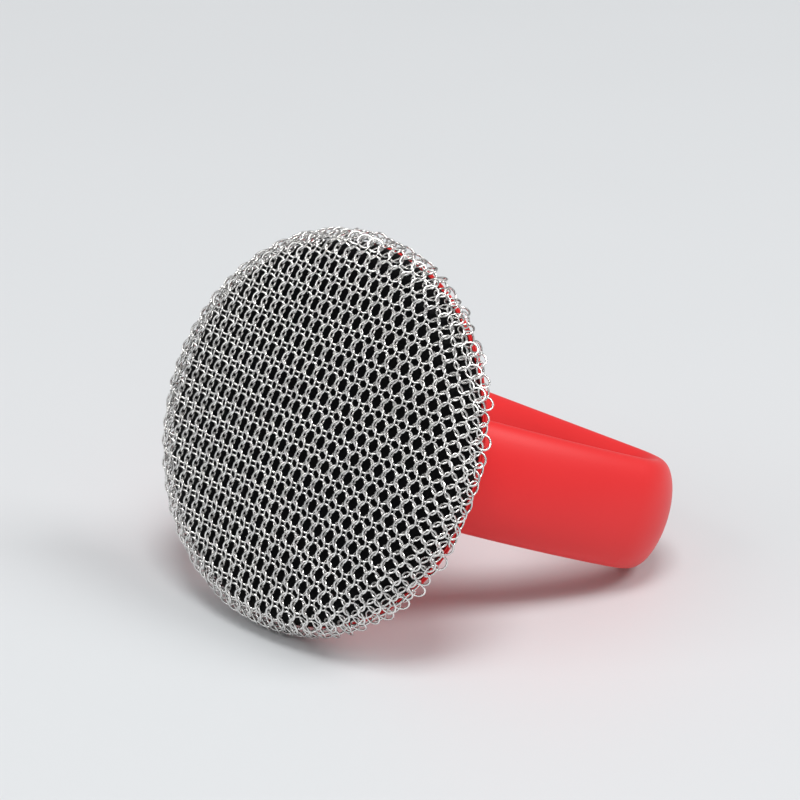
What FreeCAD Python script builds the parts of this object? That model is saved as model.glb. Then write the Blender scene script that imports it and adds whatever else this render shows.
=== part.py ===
"""Pot scrubber: linked ring mail over a domed pad, on a round base with a wide finger loop.

Every piece is drawn in a working frame whose Z runs along the axis of the head, from the scrubbing
face towards the handle, with Z zero at the widest circle of the mail. X is up the face and Y runs
across the loop. The pieces are then laid down together, on the edge of the head and the bar of the loop.
"""

import FreeCAD
import Part
import math
import os

Vector = FreeCAD.Vector

# Ring mail
ring_wire = 0.45           # diameter of the wire
ring_bore = 3.27           # inner diameter of a ring
face_tilt = 36.0           # lean of each ring out of the sheet on the face, in degrees
edge_tilt = 28.0           # the same where the sheet turns over the edge
tilt_hold = 0.6            # share of the face, from the middle, with the full lean
row_gap = 0.45             # free space between rings that lie end to end
link_slack = 0.46          # play of linked rings along the sheet
mail_turn = 4.0            # turn of the rows against the loop, in degrees
hem_turn = 95.5            # turn of the last rings over the edge, from the face, in degrees
hem_gap = 0.15             # last rings to the base around them

# Head
head_radius = 46.5         # outside of the mail at its widest
dome_radius = 187.0        # curve of the scrubbing face, outside of the mail
rim_radius = 8.6           # rounding of the edge, outside of the mail
pad_gap = 0.08             # mail to the pad below it
seat_gap = 0.05            # pad to the base and the core plate

# Core plate
core_edge = 12.5           # edge of the plate inside the widest circle of the mail
core_thickness = 3.5
core_sink = 1.0            # back of the plate below the back of the pad
core_gap = 0.1             # plate and boss to the wall around them

# Base of the handle
lip_thickness = 0.6
lip_step = 2.6             # how far the lip stays inside the widest circle of the mail
shoulder_height = 0.55     # shoulder of the base between the pad and the lip
back_rise = 2.4            # hub of the base above the back of the lip
hub_edge = 0.5             # flat of the hub past the screw wells
root_blend = 0.22          # rounding where the legs meet the hub, as a share of the flat outside them

# Finger loop
loop_width = 97.0          # overall, across both corners
loop_length = 80.2         # from the back of the lip to the outside of the bar
band_width = 26.4
band_thickness = 11.5
corner_radius = 13.8       # at the middle of the band
corner_flare = 13.9        # lean of the legs where they meet the corners, in degrees
root_gap = 7.6             # between the legs, where they leave the hub
root_sink = 1.0            # depth to which the legs run into the hub

# Screws
screw_diameter = 3.0
screw_length = 4.5         # under the head
screw_head_diameter = 5.6
screw_head_height = 1.8
screw_edge = 4.0           # middle of each screw inside the edge of the core plate
screw_angles = (45.0, 135.0, 225.0, 315.0)
screw_web = 1.8            # wall of the base under each head
screw_gap = 0.05           # free space round the shank
well_gap = 0.3             # free space round the head
tip_gap = 0.3              # free depth past the tip
drive_width = 0.7          # cross recess in the head
drive_length = 3.2
drive_depth = 1.0

# Worked out for the mail
turn = math.radians(mail_turn)
face_lean = math.radians(face_tilt)
edge_lean = math.radians(edge_tilt)
ring_radius = (ring_bore + ring_wire) / 2
ring_reach = ring_radius + ring_wire / 2
mail_half = ring_radius * math.sin(face_lean) + ring_wire / 2
row_step = 2 * ring_reach + row_gap
link_reach = (row_step / 2 + ring_wire + link_slack) / 2
ring_step = 4 * math.cos(edge_lean) * math.sqrt(ring_radius ** 2 - link_reach ** 2)

# Worked out for the head
rim_centre = head_radius - rim_radius
join_angle = math.asin(rim_centre / (dome_radius - rim_radius))
dome_centre = math.sqrt((dome_radius - rim_radius) ** 2 - rim_centre ** 2)
mail_dome = dome_radius - mail_half
mail_rim = rim_radius - mail_half
pad_dome = mail_dome - mail_half - pad_gap
pad_rim = mail_rim - mail_half - pad_gap

# Worked out for the flat sheet: how far out the dome meets the edge, and how far out the hem lies
dome_reach = 2 * mail_dome * math.tan(join_angle / 2)
sheet_root = math.sqrt(rim_centre ** 2 - mail_rim ** 2)
hem_lean = math.radians(hem_turn)


def sheet_swing(lean):
    """Angle that measures out the flat sheet over the rounded edge, by the outward lean there."""
    return math.atan((rim_centre * math.tan(lean / 2) + mail_rim) / sheet_root)


hem_swing = sheet_swing(hem_lean) - sheet_swing(join_angle)
mail_reach = dome_reach * math.exp(2 * mail_rim / sheet_root * hem_swing)
hem_radius = rim_centre + mail_rim * math.sin(hem_lean) + ring_reach * math.cos(hem_lean)
hem_back = ring_reach * math.sin(hem_lean) - mail_rim * math.cos(hem_lean)

# Worked out for the core plate, the base and the screws
shoulder_radius = hem_radius - mail_half - hem_gap
lip_front = hem_back + ring_wire / 2 + hem_gap
lip_back = lip_front + lip_thickness
lip_radius = head_radius - lip_step
lip_round = lip_thickness / 2
base_front = lip_front - shoulder_height
pad_back = base_front - seat_gap
pad_lean = math.pi / 2 + math.asin(pad_back / pad_rim)
core_radius = head_radius - core_edge
core_back = pad_back - core_sink
core_front = core_back - core_thickness
hub_back = lip_back + back_rise
screw_circle = core_radius - screw_edge
hub_radius = screw_circle + screw_head_diameter / 2 + well_gap + hub_edge
seat_z = core_back + screw_web
pilot_depth = screw_length - screw_web + tip_gap

# Worked out for the loop: the bar, its corners and the inner side of the bowed legs
flare = math.radians(corner_flare)
bar_z = lip_back + loop_length - band_thickness / 2
corner_y = loop_width / 2 - band_thickness / 2 - corner_radius
corner_z = bar_z - corner_radius
inside_radius = corner_radius - band_thickness / 2
inside_top_y = corner_y + inside_radius * math.cos(flare)
inside_top_z = corner_z - inside_radius * math.sin(flare)
inside_run_y = inside_top_y - root_gap / 2
inside_run_z = inside_top_z - hub_back
inside_lift = inside_run_y * math.cos(flare) - inside_run_z * math.sin(flare)
inside_bow = (inside_run_y ** 2 + inside_run_z ** 2) / (2 * inside_lift)

# Worked out for the legs: the bow at the middle of the band, and the roots on the hub
leg_bow = inside_bow + band_thickness / 2
bow_y = inside_top_y - inside_bow * math.cos(flare)
bow_z = inside_top_z + inside_bow * math.sin(flare)
root_angle = math.asin((bow_z - hub_back) / leg_bow)
root_out = bow_y + math.sqrt((leg_bow + band_thickness / 2) ** 2 - (bow_z - hub_back) ** 2)
root_fillet = root_blend * (hub_radius - root_out)


def point(radius, z):
    """A point of a turned profile, in the plane of X and Z."""
    return Vector(radius, 0, z)


def turned(edges):
    """The solid made by turning a closed profile once round the axis."""
    return Part.Face(Part.Wire(edges)).revolve(Vector(0, 0, 0), Vector(0, 0, 1), 360)


def line(start, end):
    """A straight edge of a profile."""
    return Part.LineSegment(start, end).toShape()


def arc(start, middle, end):
    """A round edge of a profile."""
    return Part.Arc(start, middle, end).toShape()


def pad_point(angle):
    """A point on the rounded edge under the mail, by the angle of its outward normal from the face."""
    return point(rim_centre + pad_rim * math.sin(angle), -pad_rim * math.cos(angle))


def dome_point(angle):
    """A point on the domed face under the mail, by its angle at the centre of the dome."""
    return point(pad_dome * math.sin(angle), dome_centre - pad_dome * math.cos(angle))


def make_scrub_pad():
    """The soft dome under the mail, with a seat for the core plate in its back."""
    seat_radius = core_radius + core_gap
    seat_front = core_front - seat_gap
    side = pad_point(pad_lean)
    profile = [
        arc(dome_point(0), dome_point(join_angle / 2), dome_point(join_angle)),
        arc(dome_point(join_angle), pad_point((join_angle + pad_lean) / 2), side),
        line(side, point(seat_radius, pad_back)),
        line(point(seat_radius, pad_back), point(seat_radius, seat_front)),
        line(point(seat_radius, seat_front), point(0, seat_front)),
        line(point(0, seat_front), dome_point(0)),
    ]
    return turned(profile)


def make_core_plate():
    """The stiff disc between the pad and the base, with blind holes for the screws."""
    plate = Part.makeCylinder(core_radius, core_thickness, Vector(0, 0, core_front))
    radius = screw_diameter / 2 + screw_gap
    holes = [Part.makeCylinder(radius, pilot_depth, spot, Vector(0, 0, -1)) for spot in screw_spots(core_back)]
    return plate.cut(Part.makeCompound(holes))


def screw_spots(z):
    """The places of the screws on a plane across the axis."""
    spots = []
    for degrees in screw_angles:
        angle = math.radians(degrees)
        spots.append(Vector(screw_circle * math.cos(angle), screw_circle * math.sin(angle), z))
    return spots


def make_base():
    """The round base: a boss on the core plate, a shoulder inside the hem, a thin lip and a raised hub."""
    lip_in = lip_radius - lip_round
    profile = [
        line(point(0, core_back), point(core_radius, core_back)),
        line(point(core_radius, core_back), point(core_radius, base_front)),
        line(point(core_radius, base_front), point(shoulder_radius, base_front)),
        line(point(shoulder_radius, base_front), point(shoulder_radius, lip_front)),
        line(point(shoulder_radius, lip_front), point(lip_in, lip_front)),
        arc(point(lip_in, lip_front), point(lip_radius, lip_front + lip_round), point(lip_in, lip_back)),
        line(point(lip_in, lip_back), point(hub_radius, hub_back)),
        line(point(hub_radius, hub_back), point(0, hub_back)),
        line(point(0, hub_back), point(0, core_back)),
    ]
    return turned(profile)


def band_section(y):
    """The oval section of the band where it crosses a plane across the bar."""
    oval = Part.Ellipse(Vector(0, 0, 0), band_width / 2, band_thickness / 2).toShape()
    face = Part.Face(Part.Wire([oval]))
    face.Placement = FreeCAD.Placement(Vector(0, y, bar_z), FreeCAD.Rotation(Vector(1, 0, 0), 90))
    return face


def make_leg():
    """One corner and one leg of the loop, on the side of positive Y, cut off just inside the hub."""
    across = Vector(1, 0, 0)
    corner_axis = Vector(0, corner_y, corner_z)
    bow_axis = Vector(0, bow_y, bow_z)
    corner_turn = -(90 + corner_flare)
    section = band_section(corner_y)
    corner = section.revolve(corner_axis, across, corner_turn)
    top = section.copy()
    top.rotate(corner_axis, across, corner_turn)
    sunk = math.degrees(root_angle - flare) + math.degrees(band_thickness / leg_bow)
    leg = top.revolve(bow_axis, across, -sunk)
    floor = hub_back - root_sink
    below = Part.makeBox(4 * head_radius, 4 * head_radius, 2 * head_radius)
    below.translate(Vector(-2 * head_radius, -2 * head_radius, floor - 2 * head_radius))
    return corner.fuse(leg.cut(below))


def make_loop():
    """The finger loop: a straight bar with a corner and a bowed leg at each end."""
    bar = band_section(-corner_y).extrude(Vector(0, 2 * corner_y, 0))
    leg = make_leg()
    other = leg.mirror(Vector(0, 0, 0), Vector(0, 1, 0))
    return bar.fuse([leg, other])


def root_edges(shape):
    """The edges on the flat of the hub where the legs rise from it."""
    found = []
    for edge in shape.Edges:
        box = edge.BoundBox
        on_hub = abs(box.ZMin - hub_back) < 0.01 and abs(box.ZMax - hub_back) < 0.01
        inside = max(abs(box.XMin), abs(box.XMax), abs(box.YMin), abs(box.YMax)) < hub_radius - hub_edge
        if on_hub and inside:
            found.append(edge)
    return found


def make_handle():
    """Base and finger loop in one moulding, with rounded roots and wells for the screws."""
    body = make_base().fuse(make_loop()).removeSplitter()
    body = body.makeFillet(root_fillet, root_edges(body))
    well = screw_head_diameter / 2 + well_gap
    shank = screw_diameter / 2 + screw_gap
    depth = hub_back - core_back
    cuts = [Part.makeCylinder(well, depth, spot) for spot in screw_spots(seat_z)]
    cuts += [Part.makeCylinder(shank, depth, spot) for spot in screw_spots(core_back)]
    return body.cut(Part.makeCompound(cuts))


def make_core_screws():
    """The screws, each with a flat head, a cross recess and a plain shank."""
    screws = []
    for spot in screw_spots(seat_z):
        head = Part.makeCylinder(screw_head_diameter / 2, screw_head_height, spot)
        shank = Part.makeCylinder(screw_diameter / 2, screw_length, spot, Vector(0, 0, -1))
        top = spot.z + screw_head_height - drive_depth
        slot = Part.makeBox(drive_length, drive_width, drive_depth)
        slot.translate(Vector(spot.x - drive_length / 2, spot.y - drive_width / 2, top))
        cross = Part.makeBox(drive_width, drive_length, drive_depth)
        cross.translate(Vector(spot.x - drive_width / 2, spot.y - drive_length / 2, top))
        screws.append(head.fuse(shank).cut(slot.fuse(cross)))
    return Part.makeCompound(screws)


def mail_place(reach):
    """Radius, height and outward lean of the mail at a distance from the middle of the flat sheet.

    The sheet keeps its angles as it bends over the dome and round the edge, and closes up a little.
    """
    if reach <= dome_reach:
        lean = 2 * math.atan(reach / (2 * mail_dome))
        return mail_dome * math.sin(lean), dome_centre - mail_dome * math.cos(lean), lean
    swing = sheet_swing(join_angle) + sheet_root / (2 * mail_rim) * math.log(reach / dome_reach)
    lean = 2 * math.atan((sheet_root * math.tan(swing) - mail_rim) / rim_centre)
    return rim_centre + mail_rim * math.sin(lean), -mail_rim * math.cos(lean), lean


def ring_tilt(lean):
    """Lean of the rings out of the sheet: full on most of the face, and less from its edge outwards."""
    share = (lean / join_angle - tilt_hold) / (1 - tilt_hold)
    return face_lean + (edge_lean - face_lean) * min(max(share, 0.0), 1.0)


def ring_place(along, across, side):
    """Middle and axis of one ring, by its place on the sheet and the side to which it leans."""
    radius, z, lean = mail_place(math.hypot(along, across))
    sheet_angle = math.atan2(across, along)
    face_angle = math.pi / 2 + turn + sheet_angle
    cosine = math.cos(face_angle)
    sine = math.sin(face_angle)
    outward = Vector(cosine * math.sin(lean), sine * math.sin(lean), -math.cos(lean))
    down = Vector(cosine * math.cos(lean), sine * math.cos(lean), math.sin(lean))
    about = Vector(-sine, cosine, 0)
    row_way = down * math.cos(sheet_angle) - about * math.sin(sheet_angle)
    tilt = ring_tilt(lean)
    axis = outward * math.cos(tilt) + row_way * (side * math.sin(tilt))
    return Vector(radius * cosine, radius * sine, z), axis


def mail_row(row):
    """The places of one row of rings. Odd rows are shifted by half a step and lean the other way."""
    across = row * row_step / 2
    odd = row % 2
    shift = ring_step / 2 if odd else 0.0
    side = -1 if odd else 1
    count = int(mail_reach / ring_step) + 1
    places = []
    for step in range(-count, count + 1):
        along = step * ring_step + shift
        if math.hypot(along, across) <= mail_reach:
            places.append(ring_place(along, across, side))
    return places


def mail_sheet():
    """The places of all the rings, row by row."""
    rows = int(2 * mail_reach / row_step)
    return [mail_row(row) for row in range(-rows, rows + 1)]


def make_mail_row(places):
    """The rings of one row."""
    return Part.makeCompound([Part.makeTorus(ring_radius, ring_wire / 2, middle, axis) for middle, axis in places])


def lip_depth(angle):
    """Depth of the lip below the axis, with the axis leaning down by an angle."""
    return (lip_front + lip_round) * math.sin(angle) + (lip_radius - lip_round) * math.cos(angle) + lip_round


def mail_depth(sheet, angle):
    """Depth of the lowest ring below the axis, with the axis leaning down by an angle."""
    down = Vector(-math.cos(angle), 0, math.sin(angle))
    deepest = 0.0
    for places in sheet:
        for middle, axis in places:
            reach = ring_radius * math.sqrt(1 - axis.dot(down) ** 2) + ring_wire / 2
            deepest = max(deepest, middle.dot(down) + reach)
    return deepest


def head_depth(sheet, angle):
    """Depth of the head below the axis, with the axis leaning down by an angle."""
    return max(lip_depth(angle), mail_depth(sheet, angle))


def rest_height(sheet, angle):
    """Depth of the bar below the axis less that of the head, with the axis leaning down by an angle."""
    oval = math.hypot(band_width / 2 * math.cos(angle), band_thickness / 2 * math.sin(angle))
    return bar_z * math.sin(angle) + oval - head_depth(sheet, angle)


def lay_angle(sheet):
    """The lean at which head and bar both touch the surface, found by halving."""
    low = 0.0
    high = math.pi / 3
    for step in range(40):
        middle = (low + high) / 2
        if rest_height(sheet, middle) < 0:
            low = middle
        else:
            high = middle
    return low


def lay_down(sheet):
    """The move from the working frame to the lying pose: on Z zero, and centred on X and Y."""
    angle = lay_angle(sheet)
    sine = math.sin(angle)
    cosine = math.cos(angle)
    front = -rim_centre * sine - rim_radius
    end = bar_z * cosine + math.hypot(band_width / 2 * sine, band_thickness / 2 * cosine)
    floor = head_depth(sheet, angle)
    move = FreeCAD.Matrix(
        sine, 0, cosine, -(front + end) / 2,
        0, -1, 0, 0,
        cosine, 0, -sine, floor,
        0, 0, 0, 1,
    )
    return FreeCAD.Placement(move)


def main():
    """Build every piece, lay it down and write it."""
    pieces = {
        "scrub_pad": make_scrub_pad(),
        "core_plate": make_core_plate(),
        "handle": make_handle(),
        "core_screws": make_core_screws(),
    }
    sheet = mail_sheet()
    for number, places in enumerate(sheet, 1):
        pieces[f"mail_row_{number:02d}"] = make_mail_row(places)
    pose = lay_down(sheet)
    os.makedirs("parts", exist_ok=True)
    for name, shape in pieces.items():
        shape.Placement = pose.multiply(shape.Placement)
        shape.exportStep(f"parts/{name}.step")
        print(name, len(shape.Solids), "solids", round(shape.Volume, 2), "mm3", shape.isValid())


main()
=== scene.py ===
"""Looks of a pot scrubber: steel ring mail over a domed black pad, on a red moulded finger loop."""

import logging
import math
import random
from dataclasses import dataclass
from enum import Enum
from typing import Any, Iterator, Mapping, Optional, Union

import bmesh
import bpy
from mathutils import Matrix, Vector


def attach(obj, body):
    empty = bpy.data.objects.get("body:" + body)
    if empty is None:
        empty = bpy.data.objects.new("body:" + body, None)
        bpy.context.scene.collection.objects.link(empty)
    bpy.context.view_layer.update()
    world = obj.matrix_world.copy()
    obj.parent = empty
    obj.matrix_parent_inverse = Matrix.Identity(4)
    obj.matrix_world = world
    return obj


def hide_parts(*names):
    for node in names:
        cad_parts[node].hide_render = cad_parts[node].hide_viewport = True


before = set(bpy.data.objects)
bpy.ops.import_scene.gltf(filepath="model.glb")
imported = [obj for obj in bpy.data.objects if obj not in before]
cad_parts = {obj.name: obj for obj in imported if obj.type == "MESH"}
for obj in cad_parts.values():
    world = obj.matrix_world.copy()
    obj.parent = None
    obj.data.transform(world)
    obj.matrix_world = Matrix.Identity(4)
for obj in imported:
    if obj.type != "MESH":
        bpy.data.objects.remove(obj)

log = logging.getLogger("pot_scrubber")

BODY = "root"
MM = 0.001
MERGE = 0.001 * MM

# Patterns run from 0 to 1 about this middle.
MIDDLE = 0.5
# Number of finer layers in a cloudy pattern.
PLAIN_LAYERS = 2.0
CLOUD_LAYERS = 3.0
# Share of those layers.
SOFT_LAYERS = 0.5
CRISP_LAYERS = 0.6

Triple = tuple[float, float, float]
Number = Union[float, "Value"]
Key = Union[int, str]


def opaque(colour: Triple) -> tuple[float, float, float, float]:
    """A colour with full cover.

    Args:
        colour: Red, green and blue.

    Returns:
        The colour with its fourth value.
    """
    return (*colour, 1.0)


class Value:
    """A socket of a material. Arithmetic on it adds Math nodes."""

    def __init__(self, bench: "Bench", socket: Optional[bpy.types.NodeSocket]) -> None:
        """Keeps the socket and the material it belongs to.

        Args:
            bench: The material that owns the socket.
            socket: An output of one of its nodes.
        """
        self.bench = bench
        self.socket = socket

    def _math(self, operation: str, first: Number, second: Number) -> "Value":
        """Adds one Math node.

        Args:
            operation: Name of the Math node's operation.
            first: Its first value.
            second: Its second value.

        Returns:
            The result.
        """
        return self.bench.node("ShaderNodeMath", {"operation": operation}, {0: first, 1: second})

    def __add__(self, other: Number) -> "Value":
        """This plus other."""
        return self._math("ADD", self, other)

    def __radd__(self, other: Number) -> "Value":
        """Other plus this."""
        return self._math("ADD", other, self)

    def __sub__(self, other: Number) -> "Value":
        """This less other."""
        return self._math("SUBTRACT", self, other)

    def __mul__(self, other: Number) -> "Value":
        """This times other."""
        return self._math("MULTIPLY", self, other)

    def off_middle(self, share: float) -> "Value":
        """A share of the distance from the middle of a pattern.

        Args:
            share: The share, less than zero to turn it round.

        Returns:
            The scaled distance.
        """
        return (self - MIDDLE) * share

    def limited(self, low: float, high: float) -> "Value":
        """Keeps the value between two limits.

        Args:
            low: Least result.
            high: Greatest result.

        Returns:
            The limited value.
        """
        return self._math("MINIMUM", self._math("MAXIMUM", self, low), high)


class Bench:
    """The nodes of one material or of the world."""

    def __init__(self, tree: bpy.types.NodeTree) -> None:
        """Starts with an empty tree.

        Args:
            tree: The node tree to fill.
        """
        self.tree = tree
        self.tree.nodes.clear()

    def node(
        self, kind: str, settings: Mapping[str, Any], sockets: Mapping[Key, Any], out: Key = 0
    ) -> Value:
        """Adds a node.

        Args:
            kind: Type of the node.
            settings: Its properties, set first.
            sockets: A value or a link for each input, by name or number.
            out: The output to return.

        Returns:
            That output, or an empty one where the node has none.
        """
        made = self.tree.nodes.new(kind)
        for name, value in settings.items():
            setattr(made, name, value)
        for key, value in sockets.items():
            if isinstance(value, Value):
                self.tree.links.new(value.socket, made.inputs[key])
            else:
                made.inputs[key].default_value = value
        return Value(self, made.outputs[out] if made.outputs else None)

    def place(self) -> Value:
        """Object coordinates, in metres."""
        return self.node("ShaderNodeTexCoord", {}, {}, "Object")

    def attribute(self, name: str) -> Value:
        """A number that the mesh carries at each point.

        Args:
            name: Name of the attribute.

        Returns:
            The number.
        """
        return self.node("ShaderNodeAttribute", {"attribute_name": name}, {}, "Fac")

    def noise(
        self, place: Value, size: float, layers: float = PLAIN_LAYERS, rough: float = SOFT_LAYERS
    ) -> Value:
        """A cloudy pattern from 0 to 1.

        Args:
            place: Coordinates.
            size: Size of its features, in metres.
            layers: Number of finer layers.
            rough: Share of the finer layers.

        Returns:
            The pattern.
        """
        inputs = {"Vector": place, "Scale": 1.0 / size, "Detail": layers, "Roughness": rough}
        return self.node("ShaderNodeTexNoise", {}, inputs, "Fac")

    def cells(self, place: Value, size: float) -> Value:
        """Distance to the nearest of scattered points, about 0 to 1.

        Args:
            place: Coordinates.
            size: Distance of the points, in metres.

        Returns:
            The distance.
        """
        inputs = {"Vector": place, "Scale": 1.0 / size}
        return self.node("ShaderNodeTexVoronoi", {}, inputs, "Distance")

    def blend(self, share: Value, first: Triple, second: Triple) -> Value:
        """Mixes two colours.

        Args:
            share: Share of the second colour.
            first: The first colour.
            second: The second colour.

        Returns:
            The mixed colour.
        """
        settings = {"data_type": "RGBA", "clamp_factor": True}
        inputs = {0: share, 6: opaque(first), 7: opaque(second)}
        return self.node("ShaderNodeMix", settings, inputs, 2)

    def bump(self, height: Value, depth: float, strength: float) -> Value:
        """Turns a height into a normal.

        Args:
            height: Height from 0 to 1.
            depth: Depth of the full height, in metres.
            strength: Share of the effect.

        Returns:
            The normal.
        """
        inputs = {"Height": height, "Distance": depth, "Strength": strength}
        return self.node("ShaderNodeBump", {}, inputs, "Normal")

    def surface(self, **sockets: Any) -> None:
        """Adds the Principled shader and the output.

        Args:
            **sockets: Inputs of the shader, with underscores for spaces.
        """
        inputs = {name.replace("_", " "): value for name, value in sockets.items()}
        shader = self.node("ShaderNodeBsdfPrincipled", {}, inputs)
        self.node("ShaderNodeOutputMaterial", {}, {"Surface": shader})


@dataclass(frozen=True)
class Finish:
    """A finish with a name. Each kind fills its own nodes."""

    name: str

    def fill(self, bench: Bench) -> None:
        """Adds the nodes of the finish.

        Args:
            bench: The material's nodes.
        """
        raise NotImplementedError

    def material(self) -> bpy.types.Material:
        """Makes the material.

        Returns:
            A new material with this finish.
        """
        made = bpy.data.materials.new(self.name)
        made.use_nodes = True
        self.fill(Bench(made.node_tree))
        return made


@dataclass(frozen=True)
class SoftTouchFinish(Finish):
    """Matt red moulding with a fine velvety grain."""

    colour: Triple = (0.84, 0.024, 0.026)
    deep: Triple = (0.78, 0.020, 0.022)
    cloud: float = 24.0 * MM
    cloud_share: float = 0.7
    cloud_gloss: float = 0.12
    grain: float = 0.35 * MM
    grain_share: float = 0.3
    grain_gloss: float = 0.1
    grain_depth: float = 0.02 * MM
    grain_strength: float = 0.6
    roughness: float = 0.46
    specular: float = 0.45
    sheen: float = 0.12
    sheen_roughness: float = 0.45
    sheen_tint: Triple = (1.0, 0.62, 0.62)

    def fill(self, bench: Bench) -> None:
        """Adds cloudy colour, a fine grain and a soft sheen.

        Args:
            bench: The material's nodes.
        """
        place = bench.place()
        cloud = bench.noise(place, self.cloud, CLOUD_LAYERS)
        grain = bench.noise(place, self.grain, rough=CRISP_LAYERS)
        shade = (cloud * self.cloud_share + grain * self.grain_share).limited(0.0, 1.0)
        gloss = self.roughness + cloud.off_middle(self.cloud_gloss)
        bench.surface(
            Base_Color=bench.blend(shade, self.deep, self.colour),
            Roughness=gloss + grain.off_middle(self.grain_gloss),
            Normal=bench.bump(grain, self.grain_depth, self.grain_strength),
            Specular_IOR_Level=self.specular,
            Sheen_Weight=self.sheen,
            Sheen_Roughness=self.sheen_roughness,
            Sheen_Tint=opaque(self.sheen_tint),
        )


@dataclass(frozen=True)
class SteelWireFinish(Finish):
    """Bright drawn steel, a little different from ring to ring and duller at the welds."""

    bright: Triple = (0.93, 0.92, 0.90)
    dull: Triple = (0.70, 0.69, 0.68)
    tone_share: float = 0.8
    tone_gloss: float = -0.1
    line: float = 0.12 * MM
    line_share: float = 0.4
    line_gloss: float = 0.12
    line_depth: float = 0.006 * MM
    line_strength: float = 0.5
    weld_share: float = 0.25
    weld_gloss: float = 0.12
    roughness: float = 0.2
    least_roughness: float = 0.08
    most_roughness: float = 0.6

    def fill(self, bench: Bench) -> None:
        """Adds the tone of each ring, drawn lines and a duller weld.

        Args:
            bench: The material's nodes.
        """
        tone = bench.attribute("ring_tone")
        weld = bench.attribute("weld")
        line = bench.noise(bench.place(), self.line, rough=CRISP_LAYERS)
        shade = tone * self.tone_share + line * self.line_share - weld * self.weld_share
        gloss = self.roughness + tone.off_middle(self.tone_gloss)
        gloss = gloss + line.off_middle(self.line_gloss) + weld * self.weld_gloss
        bench.surface(
            Base_Color=bench.blend(shade.limited(0.0, 1.0), self.dull, self.bright),
            Metallic=1.0,
            Roughness=gloss.limited(self.least_roughness, self.most_roughness),
            Normal=bench.bump(line, self.line_depth, self.line_strength),
        )


@dataclass(frozen=True)
class PadFinish(Finish):
    """Black rubber foam with fine open pores, with painted shade in the pores."""

    colour: Triple = (0.0016, 0.0016, 0.0022)
    # Painted shade: the darker colour painted at the bottom of each pore.
    painted_pore_shade: Triple = (0.0005, 0.0005, 0.0008)
    pore: float = 0.45 * MM
    pore_gain: float = 1.6
    pore_depth: float = 0.08 * MM
    pore_strength: float = 0.7
    cloud: float = 6.0 * MM
    cloud_share: float = 0.4
    cloud_gloss: float = 0.16
    plain_share: float = 0.6
    roughness: float = 0.62
    specular: float = 0.1

    def fill(self, bench: Bench) -> None:
        """Adds pores with painted shade at their bottoms, and a cloudy tone.

        Args:
            bench: The material's nodes.
        """
        place = bench.place()
        # The distance to each pore's middle sets both the bump and the painted shade in the pore.
        skin = (bench.cells(place, self.pore) * self.pore_gain).limited(0.0, 1.0)
        cloud = bench.noise(place, self.cloud)
        shade = skin * (self.plain_share + cloud * self.cloud_share)
        bench.surface(
            Base_Color=bench.blend(shade, self.painted_pore_shade, self.colour),
            Roughness=self.roughness + cloud.off_middle(self.cloud_gloss),
            Normal=bench.bump(skin, self.pore_depth, self.pore_strength),
            Specular_IOR_Level=self.specular,
        )


@dataclass(frozen=True)
class MouldedFinish(Finish):
    """Dark plain moulding, with faint flow marks."""

    colour: Triple = (0.05, 0.05, 0.055)
    pale: Triple = (0.07, 0.07, 0.075)
    flow: float = 9.0 * MM
    grain: float = 0.25 * MM
    grain_gloss: float = 0.15
    grain_depth: float = 0.02 * MM
    grain_strength: float = 0.5
    roughness: float = 0.5

    def fill(self, bench: Bench) -> None:
        """Adds flow marks and a spark-eroded grain.

        Args:
            bench: The material's nodes.
        """
        place = bench.place()
        flow = bench.noise(place, self.flow, CLOUD_LAYERS)
        grain = bench.noise(place, self.grain)
        bench.surface(
            Base_Color=bench.blend(flow, self.colour, self.pale),
            Roughness=self.roughness + grain.off_middle(self.grain_gloss),
            Normal=bench.bump(grain, self.grain_depth, self.grain_strength),
        )


@dataclass(frozen=True)
class ZincFinish(Finish):
    """Bright zinc on small screws, dulled in patches."""

    bright: Triple = (0.66, 0.66, 0.66)
    dull: Triple = (0.42, 0.42, 0.41)
    patch: float = 1.8 * MM
    patch_gloss: float = 0.2
    mark: float = 0.15 * MM
    mark_gloss: float = 0.1
    mark_depth: float = 0.01 * MM
    mark_strength: float = 0.5
    roughness: float = 0.3

    def fill(self, bench: Bench) -> None:
        """Adds patches of tone and fine marks.

        Args:
            bench: The material's nodes.
        """
        place = bench.place()
        patch = bench.noise(place, self.patch, CLOUD_LAYERS)
        mark = bench.noise(place, self.mark)
        gloss = self.roughness + patch.off_middle(self.patch_gloss)
        bench.surface(
            Base_Color=bench.blend(patch, self.dull, self.bright),
            Metallic=1.0,
            Roughness=gloss + mark.off_middle(self.mark_gloss),
            Normal=bench.bump(mark, self.mark_depth, self.mark_strength),
        )


@dataclass(frozen=True)
class FloorFinish(Finish):
    """Plain pale floor with a faint satin gloss."""

    colour: Triple = (0.69, 0.707, 0.722)
    cloud: float = 90.0 * MM
    cloud_gloss: float = 0.1
    roughness: float = 0.5
    specular: float = 0.3

    def fill(self, bench: Bench) -> None:
        """Adds one pale colour and a slightly uneven gloss.

        Args:
            bench: The material's nodes.
        """
        cloud = bench.noise(bench.place(), self.cloud)
        bench.surface(
            Base_Color=opaque(self.colour),
            Roughness=self.roughness + cloud.off_middle(self.cloud_gloss),
            Specular_IOR_Level=self.specular,
        )


class Slot(Enum):
    """The record's material slots, each with its finish."""

    HANDLE = ("handle", SoftTouchFinish("soft_touch_red"))
    RINGS = ("rings", SteelWireFinish("drawn_steel_wire"))
    PAD = ("pad", PadFinish("black_pad_foam"))
    CORE = ("core", MouldedFinish("dark_moulding"))
    SCREWS = ("screws", ZincFinish("zinc_screws"))

    @property
    def label(self) -> str:
        """Name of the slot in the record."""
        return self.value[0]

    @property
    def finish(self) -> Finish:
        """Finish of the slot."""
        return self.value[1]


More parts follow.
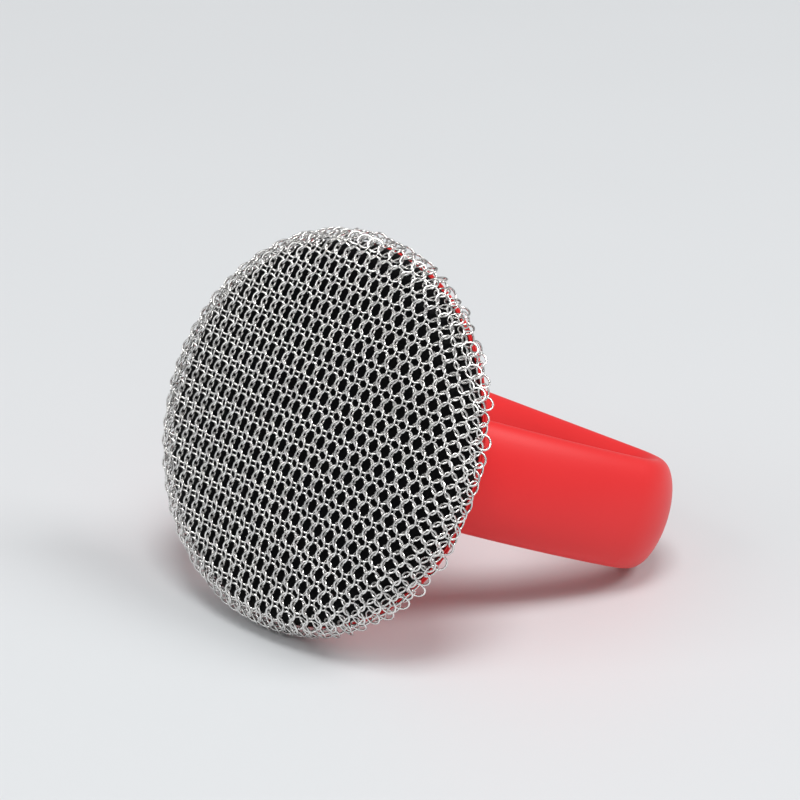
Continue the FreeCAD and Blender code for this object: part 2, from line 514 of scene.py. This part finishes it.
@dataclass(frozen=True)
class LyingPose:
    """How the scrubber lies: the axis of the head leans down towards the handle."""

    lean: float = math.radians(23.072393)
    along: float = -27.944729 * MM
    height: float = 42.996874 * MM

    def matrix(self) -> Matrix:
        """The move from the frame of the head to the row frame.

        Returns:
            A matrix for points with Z along the axis of the head and X up its face.
        """
        sine, cosine = math.sin(self.lean), math.cos(self.lean)
        return Matrix((
            (sine, 0.0, cosine, self.along),
            (0.0, -1.0, 0.0, 0.0),
            (cosine, 0.0, -sine, self.height),
            (0.0, 0.0, 0.0, 1.0),
        ))


def dress(node: bpy.types.Object, material: bpy.types.Material) -> None:
    """Puts a material on every slot of a CAD node.

    Args:
        node: The node's object.
        material: The material.
    """
    for slot in node.material_slots:
        slot.material = material


def turn_round(mesh: bmesh.types.BMesh, section: list[Any], steps: int) -> None:
    """Turns a section once round the Z axis and closes the seam.

    Args:
        mesh: The mesh that holds the section.
        section: Points and edges of the section.
        steps: Number of steps round the axis.
    """
    bmesh.ops.spin(
        mesh, geom=section, cent=(0, 0, 0), axis=(0, 0, 1), angle=math.tau, steps=steps,
        use_merge=True, use_normal_flip=False, use_duplicate=False,
    )
    bmesh.ops.remove_doubles(mesh, verts=mesh.verts[:], dist=MERGE)
    bmesh.ops.recalc_face_normals(mesh, faces=mesh.faces[:])


def finished(
    name: str, mesh: bmesh.types.BMesh, material: bpy.types.Material
) -> bpy.types.Object:
    """Makes an object of a mesh, with smooth faces and a material.

    Args:
        name: Name of the piece.
        mesh: Its mesh, which is freed.
        material: Its material.

    Returns:
        The new object, linked to the scene.
    """
    for face in mesh.faces:
        face.smooth = True
    data = bpy.data.meshes.new(name)
    mesh.to_mesh(data)
    mesh.free()
    data.materials.append(material)
    made = bpy.data.objects.new(name, data)
    bpy.context.scene.collection.objects.link(made)
    return made


@dataclass(frozen=True)
class HeadForm:
    """The outside of the head: a shallow dome with a rounded edge, in the frame of the head."""

    radius: float = 46.5 * MM
    dome: float = 187.0 * MM
    rim: float = 8.6 * MM

    @property
    def centre(self) -> float:
        """Distance from the axis to the middle of the edge's rounding."""
        return self.radius - self.rim

    @property
    def join(self) -> float:
        """Lean of the surface where the dome meets the edge."""
        return math.asin(self.centre / (self.dome - self.rim))

    @property
    def depth(self) -> float:
        """Height of the middle of the dome's sphere."""
        return math.sqrt((self.dome - self.rim) ** 2 - self.centre ** 2)

    def spot(self, lean: float, inset: float) -> tuple[float, float]:
        """A point of the section.

        Args:
            lean: Outward lean of the surface there.
            inset: Depth below the outside.

        Returns:
            Its distance from the axis and its height.
        """
        if lean <= self.join:
            bow = self.dome - inset
            return bow * math.sin(lean), self.depth - bow * math.cos(lean)
        bow = self.rim - inset
        return self.centre + bow * math.sin(lean), -bow * math.cos(lean)


@dataclass
class Mail:
    """Rows of linked steel rings, drawn over the dome and turned over its edge.

    Attributes:
        pose: How the scrubber lies.
        form: The outside of the head.
        wire: Thickness of the wire.
        ring: Radius of a ring to the middle of its wire.
        tilt: Lean of the rings, one way and the other in turn.
        ring_step: Distance of the rings along a row.
        row_step: Distance of the rows that lean the same way.
        depth: Depth of the rings' middles below the outside.
        turn: Turn of the rows about the axis of the head.
        hem_turn: Lean of the surface where the sheet ends.
        hem_start: Lean of the surface where the rings hang loose.
        sway: Most that a ring sways on the face.
        hem_sway: Most that a loose ring sways.
        follow: Share of the edge's turn that the rings follow.
        weld_width: Distance from the middle of the weld within which points are marked.
        steps: Steps round a ring.
        sides: Sides of the wire.
        seed: Seed of the random draws.
    """

    pose: LyingPose
    form: HeadForm
    wire: float = 0.5 * MM
    ring: float = 1.78 * MM
    tilt: float = math.radians(26.0)
    ring_step: float = 3.36 * MM
    row_step: float = 4.54 * MM
    depth: float = 1.25 * MM
    turn: float = math.radians(4.0)
    hem_turn: float = math.radians(102.0)
    hem_start: float = math.radians(78.0)
    sway: float = math.radians(2.0)
    hem_sway: float = math.radians(10.0)
    follow: float = 0.75
    weld_width: float = 0.05 * MM
    steps: int = 14
    sides: int = 5
    seed: int = 11

    def __post_init__(self) -> None:
        """Works out the reach of the flat sheet and starts the random draws."""
        self.face: float = self.form.dome - self.depth
        self.edge: float = self.form.rim - self.depth
        self.face_reach: float = 2 * self.face * math.tan(self.form.join / 2)
        self.root: float = math.sqrt(self.form.centre ** 2 - self.edge ** 2)
        swing = self.swing(self.hem_turn) - self.swing(self.form.join)
        self.reach: float = self.face_reach * math.exp(2 * self.edge / self.root * swing)
        self.draw = random.Random(self.seed)

    def swing(self, lean: float) -> float:
        """Angle that measures out the flat sheet over the rounded edge.

        Args:
            lean: Outward lean there.

        Returns:
            The angle.
        """
        return math.atan((self.form.centre * math.tan(lean / 2) + self.edge) / self.root)

    def lean(self, reach: float) -> float:
        """Outward lean of the sheet.

        Args:
            reach: Distance from the middle of the flat sheet.

        Returns:
            The lean there.
        """
        if reach <= self.face_reach:
            return 2 * math.atan(reach / (2 * self.face))
        stretch = self.root / (2 * self.edge) * math.log(reach / self.face_reach)
        swing = self.swing(self.form.join) + stretch
        return 2 * math.atan((self.root * math.tan(swing) - self.edge) / self.form.centre)

    def place(self, along: float, across: float, side: int) -> Matrix:
        """Where one ring sits, with a little sway.

        Args:
            along: Place along its row.
            across: Place across the rows.
            side: The side to which it leans.

        Returns:
            The move from a ring flat on its middle to its place in the row frame.
        """
        lean = self.lean(math.hypot(along, across))
        sheet = math.atan2(across, along)
        radius, height = self.form.spot(lean, self.depth)
        way = math.pi / 2 + self.turn + sheet
        out = Vector((math.cos(way), math.sin(way), 0.0))
        axle = Vector((0.0, 0.0, 1.0))
        join = self.form.join
        bend = min(lean, join + self.follow * max(lean - join, 0.0))
        outward = out * math.sin(bend) - axle * math.cos(bend)
        down = out * math.cos(bend) + axle * math.sin(bend)
        about = axle.cross(out)
        row_way = down * math.cos(sheet) - about * math.sin(sheet)
        sway = self.sway if lean < self.hem_start else self.hem_sway
        tilt = side * self.tilt + self.draw.uniform(-sway, sway)
        axis = outward * math.cos(tilt) + row_way * math.sin(tilt)
        axis += outward.cross(row_way) * math.tan(self.draw.uniform(-sway, sway))
        turn = axis.to_track_quat("Z", "X").to_matrix().to_4x4()
        spin = Matrix.Rotation(self.draw.uniform(0.0, math.tau), 4, "Z")
        middle = Matrix.Translation(out * radius + axle * height)
        return self.pose.matrix() @ middle @ turn @ spin

    def rows(self) -> Iterator[list[Matrix]]:
        """Finds the places of the rings.

        Yields:
            The places of one row after the other, each drawn when it is asked for.
        """
        last = int(2 * self.reach / self.row_step)
        count = int(self.reach / self.ring_step) + 1
        for row in range(-last, last + 1):
            across = row * self.row_step / 2
            shift, side = (self.ring_step / 2, -1) if row % 2 else (0.0, 1)
            steps = (step * self.ring_step + shift for step in range(-count, count + 1))
            inside = [along for along in steps if math.hypot(along, across) <= self.reach]
            yield [self.place(along, across, side) for along in inside]

    def ring_mesh(self) -> bpy.types.Mesh:
        """Makes one ring of round wire, flat on its middle, with its weld marked.

        Returns:
            The mesh of the ring.
        """
        mesh = bmesh.new()
        weld = mesh.verts.layers.float.new("weld")
        mesh.verts.layers.float.new("ring_tone")
        upright = Matrix.Translation((self.ring, 0.0, 0.0)) @ Matrix.Rotation(math.pi / 2, 4, "X")
        bmesh.ops.create_circle(mesh, segments=self.sides, radius=self.wire / 2, matrix=upright)
        turn_round(mesh, mesh.verts[:] + mesh.edges[:], self.steps)
        for vert in mesh.verts:
            if vert.co.x > 0 and abs(vert.co.y) < self.weld_width:
                vert[weld] = 1.0
        made = bpy.data.meshes.new("ring")
        mesh.to_mesh(made)
        mesh.free()
        return made

    def build_row(
        self, number: int, places: list[Matrix], ring: bpy.types.Mesh, steel: bpy.types.Material
    ) -> str:
        """Builds one row of rings.

        Args:
            number: Number of the row, in the order of the CAD's rows.
            places: Where its rings sit.
            ring: The mesh of one ring.
            steel: The material.

        Returns:
            The name of the piece.
        """
        mesh = bmesh.new()
        for place in places:
            count = len(mesh.verts)
            mesh.from_mesh(ring)
            mesh.verts.ensure_lookup_table()
            verts = mesh.verts[count:]
            bmesh.ops.transform(mesh, matrix=place, verts=verts)
            tone = mesh.verts.layers.float["ring_tone"]
            value = self.draw.random()
            for vert in verts:
                vert[tone] = value
        row = finished(f"ring_row_{number:02d}", mesh, steel)
        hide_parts(f"mail_row_{number:02d}")
        Slot.RINGS.label
        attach(row, BODY)
        return row.name

    def build(self) -> list[str]:
        """Builds the sheet of rings.

        Returns:
            The names of its rows.
        """
        ring = self.ring_mesh()
        steel = Slot.RINGS.finish.material()
        names = [
            self.build_row(number, places, ring, steel)
            for number, places in enumerate(self.rows(), 1)
        ]
        bpy.data.meshes.remove(ring)
        return names


@dataclass
class Pad:
    """The soft black dome under the mail, and the core plate in its back.

    Attributes:
        pose: How the scrubber lies.
        form: The outside of the head.
        inset: Depth of the pad below that outside.
        back: Height of the pad's back.
        seat_radius: Radius of the seat for the core plate.
        seat_front: Height of the seat's floor.
        turns: Steps round the axis.
        dome_points: Steps over the dome.
        rim_points: Steps round the edge.
    """

    pose: LyingPose
    form: HeadForm
    inset: float = 2.717 * MM
    back: float = 2.548 * MM
    seat_radius: float = 34.1 * MM
    seat_front: float = -2.0 * MM
    turns: int = 96
    dome_points: int = 6
    rim_points: int = 10

    def section(self) -> list[Vector]:
        """Half of the section, from the middle of the face round to the middle of the back.

        Returns:
            Points with X as the distance from the axis and Z along it.
        """
        join = self.form.join
        leans = [join * step / self.dome_points for step in range(self.dome_points)]
        rest = math.pi / 2 + math.asin(self.back / (self.form.rim - self.inset)) - join
        leans += [join + rest * step / self.rim_points for step in range(1, self.rim_points + 1)]
        spots = [self.form.spot(lean, self.inset) for lean in leans]
        spots += [
            (self.seat_radius, self.back),
            (self.seat_radius, self.seat_front),
            (0.0, self.seat_front),
        ]
        return [Vector((radius, 0.0, height)) for radius, height in spots]

    def build_foam(self) -> bpy.types.Object:
        """Turns the pad from its section and lays it down.

        Returns:
            The pad's object.
        """
        mesh = bmesh.new()
        spots = [mesh.verts.new(point) for point in self.section()]
        edges = [mesh.edges.new(pair) for pair in zip(spots, spots[1:])]
        turn_round(mesh, spots + edges, self.turns)
        bmesh.ops.transform(mesh, matrix=self.pose.matrix(), verts=mesh.verts[:])
        foam = finished("pad_foam", mesh, Slot.PAD.finish.material())
        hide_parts("scrub_pad")
        Slot.PAD.label
        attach(foam, BODY)
        return foam

    def build(self) -> list[str]:
        """Builds the pad and dresses the core plate.

        Returns:
            The names of the pieces.
        """
        foam = self.build_foam()
        dress(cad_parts["core_plate"], Slot.CORE.finish.material())
        return [foam.name, "core_plate"]


@dataclass(frozen=True)
class Handle:
    """Base and finger loop in one moulding, and the screws behind it."""

    moulding: str = "handle"
    screws: str = "core_screws"

    def build(self) -> list[str]:
        """Dresses the moulding and its screws.

        Returns:
            The names of the pieces.
        """
        dress(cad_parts[self.moulding], Slot.HANDLE.finish.material())
        dress(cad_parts[self.screws], Slot.SCREWS.finish.material())
        return [self.moulding, self.screws]


@dataclass(frozen=True)
class Lamp:
    """One soft box, with its sizes in metres and its power in watts."""

    name: str
    place: Triple
    aim: Triple
    width: float
    height: float
    power: float

    def build(self) -> None:
        """Adds the lamp to the scene."""
        data = bpy.data.lights.new(self.name, "AREA")
        data.shape = "RECTANGLE"
        data.size = self.width
        data.size_y = self.height
        data.energy = self.power
        lamp = bpy.data.objects.new(self.name, data)
        bpy.context.scene.collection.objects.link(lamp)
        lamp.location = self.place
        way = Vector(self.aim) - Vector(self.place)
        lamp.rotation_mode = "QUATERNION"
        lamp.rotation_quaternion = way.to_track_quat("-Z", "Y")


LOW_AIM: Triple = (0.0, 0.0, 0.03)
FACE_AIM: Triple = (0.0, 0.0, 0.04)


@dataclass(frozen=True)
class Studio:
    """Floor, light and camera."""

    floor_half: float = 6.0
    world: Triple = (0.28, 0.282, 0.284)
    lens: float = 135.0
    sensor: float = 36.0
    clip_start: float = 0.01
    clip_end: float = 50.0
    eye: Triple = (-0.46437, -0.43713, 0.31284)
    right: Triple = (0.69244, -0.72130, 0.01608)
    up: Triple = (0.27133, 0.28098, 0.92056)
    lamps: tuple[Lamp, ...] = (
        Lamp("overhead_box", (-0.56, -0.56, 3.68), LOW_AIM, 1.44, 1.44, 72.0),
        Lamp("window_box", (1.44, -2.08, 3.04), LOW_AIM, 1.44, 1.44, 56.0),
        Lamp("face_box", (-3.04, 1.12, 2.40), FACE_AIM, 2.24, 1.92, 34.0),
        Lamp("front_box", (-2.72, -2.72, 1.92), FACE_AIM, 2.24, 1.92, 14.0),
    )

    def build_floor(self) -> None:
        """Lays the floor."""
        mesh = bmesh.new()
        bmesh.ops.create_grid(mesh, x_segments=1, y_segments=1, size=self.floor_half)
        floor = finished("floor", mesh, FloorFinish("pale_floor").material())

    def build_world(self) -> None:
        """Adds even light from all round."""
        world = bpy.data.worlds.new("even_light")
        world.use_nodes = True
        bench = Bench(world.node_tree)
        inputs = {"Color": opaque(self.world), "Strength": 1.0}
        light = bench.node("ShaderNodeBackground", {}, inputs)
        bench.node("ShaderNodeOutputWorld", {}, {"Surface": light})
        bpy.context.scene.world = world

    def build_camera(self) -> None:
        """Sets the camera at the photograph's viewing angle."""
        data = bpy.data.cameras.new("camera")
        data.lens = self.lens
        data.sensor_width = self.sensor
        data.clip_start = self.clip_start
        data.clip_end = self.clip_end
        camera = bpy.data.objects.new("camera", data)
        bpy.context.scene.collection.objects.link(camera)
        right, up = Vector(self.right), Vector(self.up)
        turn = Matrix((right, up, right.cross(up))).transposed()
        camera.matrix_world = Matrix.Translation(Vector(self.eye)) @ turn.to_4x4()
        bpy.context.scene.camera = camera

    def build(self) -> None:
        """Builds the studio."""
        bpy.context.scene.view_settings.view_transform = "Standard"
        self.build_floor()
        self.build_world()
        for lamp in self.lamps:
            lamp.build()
        self.build_camera()


def main() -> None:
    """Builds the scrubber and its studio."""
    logging.basicConfig(level=logging.INFO, format="%(message)s")
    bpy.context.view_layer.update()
    pose = LyingPose()
    form = HeadForm()
    for part in (Mail(pose, form), Pad(pose, form), Handle()):
        for name in part.build():
            log.info("%s: %s", type(part).__name__, name)
    Studio().build()
    bpy.context.view_layer.update()


if __name__ == "__main__":
    main()
